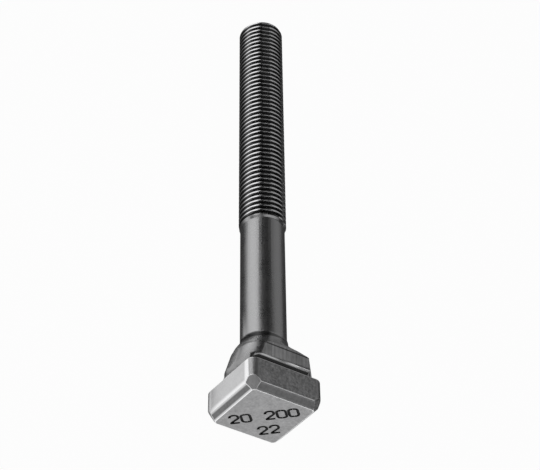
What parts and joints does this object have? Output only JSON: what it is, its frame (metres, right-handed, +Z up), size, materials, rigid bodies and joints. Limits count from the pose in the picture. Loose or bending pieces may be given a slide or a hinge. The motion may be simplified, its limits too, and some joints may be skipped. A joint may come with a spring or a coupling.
{
  "type": "t slot bolt",
  "caption": "T-slot bolt lying at rest: square chamfered head, neck with two flats for the slot, round shank and a long threaded end.",
  "frame": {"origin": "middle of the bounding box at the surface the bolt lies on", "axes": "+X points out of the head's bottom along the bolt's length, +Y across the head, +Z up from the surface; the axis leans 1.9 degrees down towards the thread end"},
  "size_m": [0.2136, 0.033, 0.0333],
  "materials": {
    "bolt": "satin"
  },
  "bodies": {
    "root": {"bolt": "bolt"}
  },
  "joints": []
}
